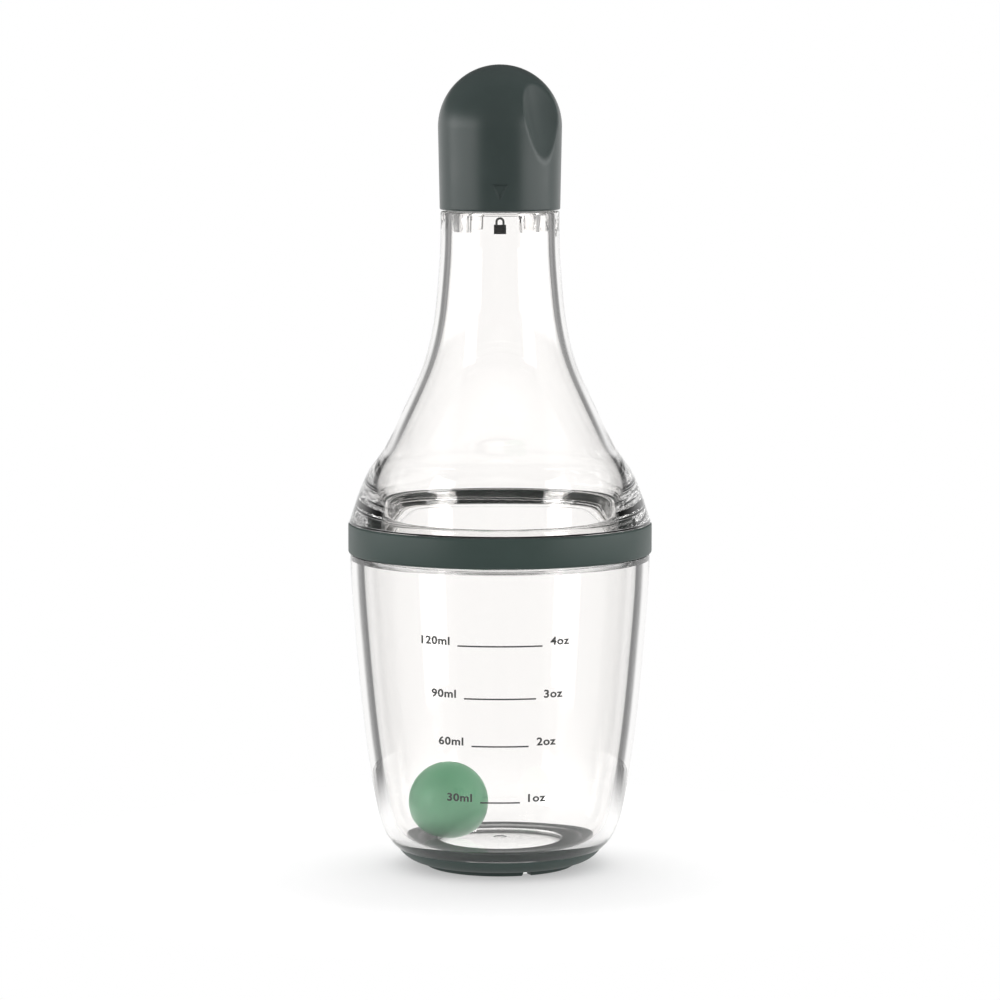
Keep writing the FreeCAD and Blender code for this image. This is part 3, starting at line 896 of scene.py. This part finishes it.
class BOTTLE_OT_cap(bpy.types.Operator):
    """Domed twist cap with two thumb dimples and a sunk arrow"""
    bl_idname = "bottle.cap"
    bl_label = "Cap"

    def execute(self, context):
        """A shell of revolution; the dimples and the arrow push its outside inwards."""
        size = context.scene.cap_sizes
        cap_r = CAP[1][0]
        low, top = CAP[0][2], CAP[1][2]
        skirt_r = context.scene.bell_sizes.neck_radius + size.overhang
        socket_r = skirt_r - size.socket_wall
        hollow_r = socket_r - size.ledge
        dome_z = top - cap_r
        quarter = np.linspace(0, math.pi / 2, DOME_ROWS)
        inside = joined(
            circle(hollow_r, dome_z, quarter[::-HOLLOW_STEP]),
            run((hollow_r, dome_z, 0), (hollow_r, PLUG[1][2], 0), (socket_r, PLUG[1][2], 0),
                (socket_r, low, 0)))
        skirt = run((socket_r, low, 0), (skirt_r, low, size.edge_round), (cap_r, dome_z, 0))[1:-1]
        outside = joined(skirt, np.linspace(skirt[-1], (cap_r, dome_z), SIDE_ROWS),
                         circle(cap_r, dome_z, quarter))
        angles = even_angles(CAP_COLUMNS)
        radius, height = spun(outside, angles)
        above_side = np.maximum(height - dome_z, 0)
        reach = np.hypot(radius, above_side)
        inward = -about_axis(radius, angles, above_side) / reach[..., None]
        depth = dimple_depth(radius, height, angles, inward) + arrow_depth(radius, height, angles)
        inner_radius, inner_height = spun(inside, angles)
        radius = np.vstack([inner_radius, radius * (1 - depth / reach)])
        height = np.vstack([inner_height, height - depth * above_side / reach])
        piece = turned("cap_dome", radius, height, angles)
        dress(piece, spark_eroded_abs, "cap", "cap_shell")
        return {"FINISHED"}


class BOTTLE_OT_ball(bpy.types.Operator):
    """Loose mixing ball"""
    bl_idname = "bottle.ball"
    bl_label = "Mixing ball"

    def execute(self, context):
        """A sphere, with rows evenly spaced from pole to pole."""
        low, high = BALL
        middle = (low + high) / 2
        ball_r = (high[2] - low[2]) / 2
        outline = circle(ball_r, middle[2], np.linspace(-math.pi / 2, math.pi / 2, SIDE_ROWS))
        angles = even_angles(BALL_COLUMNS)
        piece = turned("ball", *spun(outline, angles), angles, centre=middle[:2])
        dress(piece, mint_polypropylene, "ball", "mixing_ball")
        return {"FINISHED"}


def lettering(words):
    """Points (across, up, proud) and triangles of a word with figures one unit high and one unit
    thick, from the built-in font, made wider and bolder."""
    curve = bpy.data.curves.new("lettering", "FONT")
    curve.body = words
    curve.extrude = 0.5
    curve.offset = WORD_BOLDNESS
    curve.space_character = WORD_SPACING
    curve.resolution_u = WORD_CURVE_STEPS
    text = bpy.data.objects.new("lettering", curve)
    bpy.context.scene.collection.objects.link(text)
    evaluated = text.evaluated_get(bpy.context.evaluated_depsgraph_get())
    mesh = bpy.data.meshes.new_from_object(evaluated)
    mesh.calc_loop_triangles()
    points = np.empty(len(mesh.vertices) * 3)
    mesh.vertices.foreach_get("co", points)
    triangles = np.empty(len(mesh.loop_triangles) * 3, np.int32)
    mesh.loop_triangles.foreach_get("vertices", triangles)
    bpy.data.objects.remove(text)
    bpy.data.curves.remove(curve)
    bpy.data.meshes.remove(mesh)
    points = points.reshape(-1, 3)
    points[:, 0] -= points[:, 0].min()
    points[:, :2] *= (WORD_STRETCH / FIGURE_HEIGHT, 1 / FIGURE_HEIGHT)
    return points, triangles.reshape(-1, 3)


def strip(path, width):
    """Points (across, up, proud) and faces of a flat strip along a path of (across, up): a
    rectangle of this width and unit height carried along it, closed at both ends."""
    path = np.asarray(path, float)
    along = np.gradient(path, axis=0)
    along /= np.linalg.norm(along, axis=1)[:, None]
    left = np.stack([-along[:, 1], along[:, 0]], axis=-1) * width / 2
    section = [(path + left, 0.5), (path - left, 0.5), (path - left, -0.5), (path + left, -0.5)]
    points = np.stack([np.column_stack([edge, np.full(len(path), proud)])
                       for edge, proud in section], axis=1)
    first = 4 * np.arange(len(path) - 1)[:, None]
    corner = np.arange(4)
    beside = (corner + 1) % 4
    quads = np.stack([first + corner, first + beside, first + 4 + beside, first + 4 + corner],
                     axis=-1).reshape(-1, 4)
    last = 4 * (len(path) - 1)
    caps = np.array([(3, 2, 1, 0), (last, last + 1, last + 2, last + 3)])
    return points.reshape(-1, 3), np.vstack([quads, caps])


def printed(name, parts, radius_at, body):
    """Ink on a turned surface: across becomes an arc about the front, up a height, and proud stands
    off the surface, half of it below."""
    ink = bpy.context.scene.mark_sizes.ink
    points = np.vstack([part for part, _ in parts])
    firsts = np.cumsum([0] + [len(part) for part, _ in parts])
    faces = [face for (_, own), first in zip(parts, firsts) for face in (own + first).tolist()]
    radius = radius_at(points[:, 1])
    angle = FRONT + points[:, 0] / radius
    placed = about_axis(radius + ink * points[:, 2], angle, points[:, 1])
    piece = mesh_object(name, placed.tolist(), faces)
    dress(piece, screen_printed_ink, body)


class BOTTLE_OT_volume_marks(bpy.types.Operator):
    """Printed volume lines and figures on the cup's front"""
    bl_idname = "bottle.volume_marks"
    bl_label = "Volume marks"

    def execute(self, context):
        """Lines are strips, figures are text made mesh, and both wrap round the cup."""
        size = context.scene.mark_sizes
        side = spline(cup_side()[0], SIDE_ROWS)
        parts = []
        for (left, right), z, half in zip(VOLUME_MARKS, size.heights, size.reaches):
            parts.append(strip(np.linspace((-half, z), (half, z), LINE_POINTS), size.line_width))
            for words, before in ((left, True), (right, False)):
                word, triangles = lettering(words)
                word[:, :2] *= size.word_height
                start = -half - size.word_gap - word[:, 0].max() if before else half + size.word_gap
                parts.append((word + (start, z + size.word_lift, 0), triangles))
        printed("volume_marks", parts, lambda z: np.interp(z, side[:, 1], side[:, 0]), "base")
        return {"FINISHED"}


class BOTTLE_OT_lock_mark(bpy.types.Operator):
    """Printed lock sign on the neck's front"""
    bl_idname = "bottle.lock_mark"
    bl_label = "Lock mark"

    def execute(self, context):
        """The body is a broad strip, the shackle a strip round a half circle on two legs."""
        size = context.scene.mark_sizes
        body_top = size.lock_height + size.lock_body
        body = strip([(0, size.lock_height), (0, body_top)], size.lock_width)
        bow = circle(size.shackle_radius, body_top + size.shackle_leg,
                     np.linspace(0, math.pi, SHACKLE_POINTS))
        path = np.vstack([(size.shackle_radius, body_top), bow, (-size.shackle_radius, body_top)])
        parts = [body, strip(path, size.shackle_width)]
        neck_r = context.scene.bell_sizes.neck_radius
        printed("lock_mark", parts, lambda z: np.full(z.shape, neck_r), "upper")
        return {"FINISHED"}


def aside_and_rise(tree, vector):
    """Degrees between straight behind the bottle and a direction or place, and its height."""
    xyz = add_node(tree, "ShaderNodeSeparateXYZ", {"Vector": vector})
    azimuth = add_node(tree, "ShaderNodeMath", {0: xyz["X"], 1: xyz["Y"]}, operation="ARCTAN2")[0]
    degrees = add_node(tree, "ShaderNodeMath", {0: azimuth}, operation="DEGREES")[0]
    aside = add_node(tree, "ShaderNodeMath", {0: degrees}, operation="ABSOLUTE")[0]
    return aside, xyz["Z"]


def studio_world():
    """Studio round the bottle, as a level for each direction. The camera sees plain white. Other
    rays are told apart, so that clear walls show a white background from every side and still
    have dark edges: rays that an outer face mirrors, rays that go straight through clear walls,
    rays that were reflected inside such walls, and rays from a surface that scatters light. A
    light or card is the product of its fades, and the level is the sum of the room's and theirs."""
    world = bpy.data.worlds.new("studio")
    bpy.context.scene.world = world
    tree = empty_tree(world)
    way = add_node(tree, "ShaderNodeTexCoord")["Generated"]
    aside, rise = aside_and_rise(tree, way)
    levels = dict(ROOM_LEVELS)
    for rays, level, aside_fades, rise_fades in STUDIO.values():
        for value, (start, full, waning, gone) in ((aside, aside_fades), (rise, rise_fades)):
            for none, whole in ((start, full), (gone, waning)):
                if none is None:
                    continue
                fade = add_node(tree, "ShaderNodeMapRange", {
                    "Value": value, "From Min": none, "From Max": whole},
                    interpolation_type="SMOOTHSTEP")["Result"]
                level = add_node(tree, "ShaderNodeMath", {0: level, 1: fade},
                                 operation="MULTIPLY")[0]
        levels[rays] = add_node(tree, "ShaderNodeMath", {0: levels[rays], 1: level},
                                operation="ADD")[0]

    # The depths count a ray's earlier reflections, and the mix holds them at 1
    rays = add_node(tree, "ShaderNodeLightPath")
    through = add_node(tree, "ShaderNodeMix", {
        0: rays["Glossy Depth"], 2: levels["straight"], 3: levels["inside"]})[0]
    bent = add_node(tree, "ShaderNodeMix", {
        0: rays["Is Transmission Ray"], 2: levels["mirrored"], 3: through})[0]
    unseen = add_node(tree, "ShaderNodeMix", {
        0: rays["Diffuse Depth"], 2: bent, 3: levels["scattered"]})[0]
    light = add_node(tree, "ShaderNodeMix", {
        0: rays["Is Camera Ray"], 2: unseen, 3: 1.0})[0]
    background = add_node(tree, "ShaderNodeBackground", {"Color": (1, 1, 1, 1), "Strength": light})[0]
    add_node(tree, "ShaderNodeOutputWorld", {"Surface": background})


def floor_paint():
    """White sweep. Near the bottle it is partly lit, so that it keeps the shadow, with a painted
    patch of light inside the foot ring, standing in for light through the clear base, that shows but
    doesn't light the ball; farther off it is plain white. Rays that were reflected see it painted
    darker, with a painted dark card on each side and in front, so that the clear walls keep their
    dark edges down to the foot."""
    size = bpy.context.scene.stage_sizes
    material = bpy.data.materials.new("white_sweep")
    tree = empty_tree(material)
    place = add_node(tree, "ShaderNodeTexCoord")["Object"]
    aside, _ = aside_and_rise(tree, place)
    distance = add_node(tree, "ShaderNodeVectorMath", {0: place}, operation="LENGTH")["Value"]
    rays = add_node(tree, "ShaderNodeLightPath")

    # Painted light: inside the foot ring the floor glows brighter for the rays that see it, standing
    # in for light through the clear base
    glow_with_painted_light = add_node(tree, "ShaderNodeMapRange", {
        "Value": distance, "From Min": size.painted_light_radius, "From Max": size.painted_light_edge,
        "To Min": FOOT_PAINTED_LIGHT, "To Max": FLOOR_GLOW})["Result"]
    glow_level = add_node(tree, "ShaderNodeMapRange", {
        "Value": rays["Diffuse Depth"], "To Min": glow_with_painted_light, "To Max": SCATTERED_GLOW})["Result"]
    glow = add_node(tree, "ShaderNodeEmission", {"Strength": glow_level})[0]
    lit = add_node(tree, "ShaderNodeBsdfDiffuse", {
        "Color": (FLOOR_PAINT, FLOOR_PAINT, FLOOR_PAINT, 1)})[0]
    near = add_node(tree, "ShaderNodeAddShader", {0: glow, 1: lit})[0]

    # Painted shade for reflections: dark cards painted on the floor, seen only by reflected rays,
    # give the clear walls their dark edges
    starts, ends, front = (
        add_node(tree, "ShaderNodeMapRange", {
            "Value": aside, "From Min": none, "From Max": whole},
            interpolation_type="SMOOTHSTEP")["Result"]
        for none, whole in FLOOR_PAINTED_CARDS)
    card = add_node(tree, "ShaderNodeMath", {0: starts, 1: ends, 2: front},
                    operation="MULTIPLY_ADD")[0]
    open_floor = add_node(tree, "ShaderNodeMapRange", {
        "Value": distance, "From Min": size.mirror_start, "From Max": size.fade_end,
        "To Min": MIRRORED_NEAR, "To Max": MIRRORED_FAR})["Result"]
    mirrored = add_node(tree, "ShaderNodeMapRange", {
        "Value": card, "To Min": open_floor, "To Max": MIRRORED_PAINTED_CARD})["Result"]
    level = add_node(tree, "ShaderNodeMapRange", {
        "Value": rays["Glossy Depth"], "To Min": FLOOR_WHITE, "To Max": mirrored})["Result"]
    white = add_node(tree, "ShaderNodeEmission", {"Strength": level})[0]

    far = add_node(tree, "ShaderNodeMapRange", {
        "Value": distance, "From Min": size.fade_start, "From Max": size.fade_end},
        interpolation_type="SMOOTHSTEP")["Result"]
    paint = add_node(tree, "ShaderNodeMixShader", {0: far, 1: near, 2: white})[0]
    add_node(tree, "ShaderNodeOutputMaterial", {"Surface": paint})
    return material


class BOTTLE_OT_stage(bpy.types.Operator):
    """Camera, white floor and studio light"""
    bl_idname = "bottle.stage"
    bl_label = "Stage"

    def execute(self, context):
        """The floor is a disc, and the camera looks along +Y and down."""
        size = context.scene.stage_sizes
        camera = bpy.data.objects.new("camera", bpy.data.cameras.new("camera"))
        camera.data.lens = size.lens
        camera.location = (0, -size.camera_distance, size.camera_height)
        camera.rotation_euler = (math.pi / 2 - size.camera_tilt, 0, 0)
        context.scene.collection.objects.link(camera)
        context.scene.camera = camera

        angles = even_angles(FLOOR_COLUMNS)
        ring = about_axis(size.floor_radius, angles, np.full(FLOOR_COLUMNS, -size.floor_gap))
        floor = mesh_object("floor", ring.tolist(), [list(range(FLOOR_COLUMNS))])
        floor.data.materials.append(floor_paint())

        studio_world()
        context.scene.view_settings.view_transform = "Standard"
        context.scene.cycles.max_bounces = LIGHT_BOUNCES
        context.scene.cycles.transmission_bounces = LIGHT_BOUNCES
        context.scene.cycles.glossy_bounces = LIGHT_BOUNCES
        return {"FINISHED"}


OPERATORS = (
    BOTTLE_OT_foot, BOTTLE_OT_cup, BOTTLE_OT_band, BOTTLE_OT_bell, BOTTLE_OT_gasket, BOTTLE_OT_plug,
    BOTTLE_OT_cap, BOTTLE_OT_ball, BOTTLE_OT_volume_marks, BOTTLE_OT_lock_mark, BOTTLE_OT_stage,
)
SIZE_GROUPS = {
    "foot_sizes": FootSizes, "cup_sizes": CupSizes, "thread_sizes": ThreadSizes,
    "seal_sizes": SealSizes, "bell_sizes": BellSizes, "cap_sizes": CapSizes,
    "mark_sizes": MarkSizes, "bottle_finishes": Finishes, "stage_sizes": StageSizes,
}


class BOTTLE_PT_pieces(bpy.types.Panel):
    """The bottle's pieces, in the order in which they are made"""
    bl_idname = "BOTTLE_PT_pieces"
    bl_label = "Dressing shaker bottle"
    bl_space_type = "VIEW_3D"
    bl_region_type = "UI"
    bl_category = "Bottle"

    def draw(self, context):
        for operator in OPERATORS:
            self.layout.operator(operator.bl_idname)


def register():
    for group in SIZE_GROUPS.values():
        bpy.utils.register_class(group)
    for name, group in SIZE_GROUPS.items():
        setattr(bpy.types.Scene, name, PointerProperty(type=group))
    for operator in OPERATORS:
        bpy.utils.register_class(operator)
    bpy.utils.register_class(BOTTLE_PT_pieces)


def unregister():
    bpy.utils.unregister_class(BOTTLE_PT_pieces)
    for operator in reversed(OPERATORS):
        bpy.utils.unregister_class(operator)
    for name, group in reversed(SIZE_GROUPS.items()):
        delattr(bpy.types.Scene, name)
        bpy.utils.unregister_class(group)


def main():
    """Builds every piece and the stage."""
    register()
    bpy.ops.bottle.foot()
    bpy.ops.bottle.cup()
    bpy.ops.bottle.band()
    bpy.ops.bottle.bell()
    bpy.ops.bottle.gasket()
    bpy.ops.bottle.plug()
    bpy.ops.bottle.cap()
    bpy.ops.bottle.ball()
    bpy.ops.bottle.volume_marks()
    bpy.ops.bottle.lock_mark()
    bpy.ops.bottle.stage()


if __name__ == "__main__":
    main()
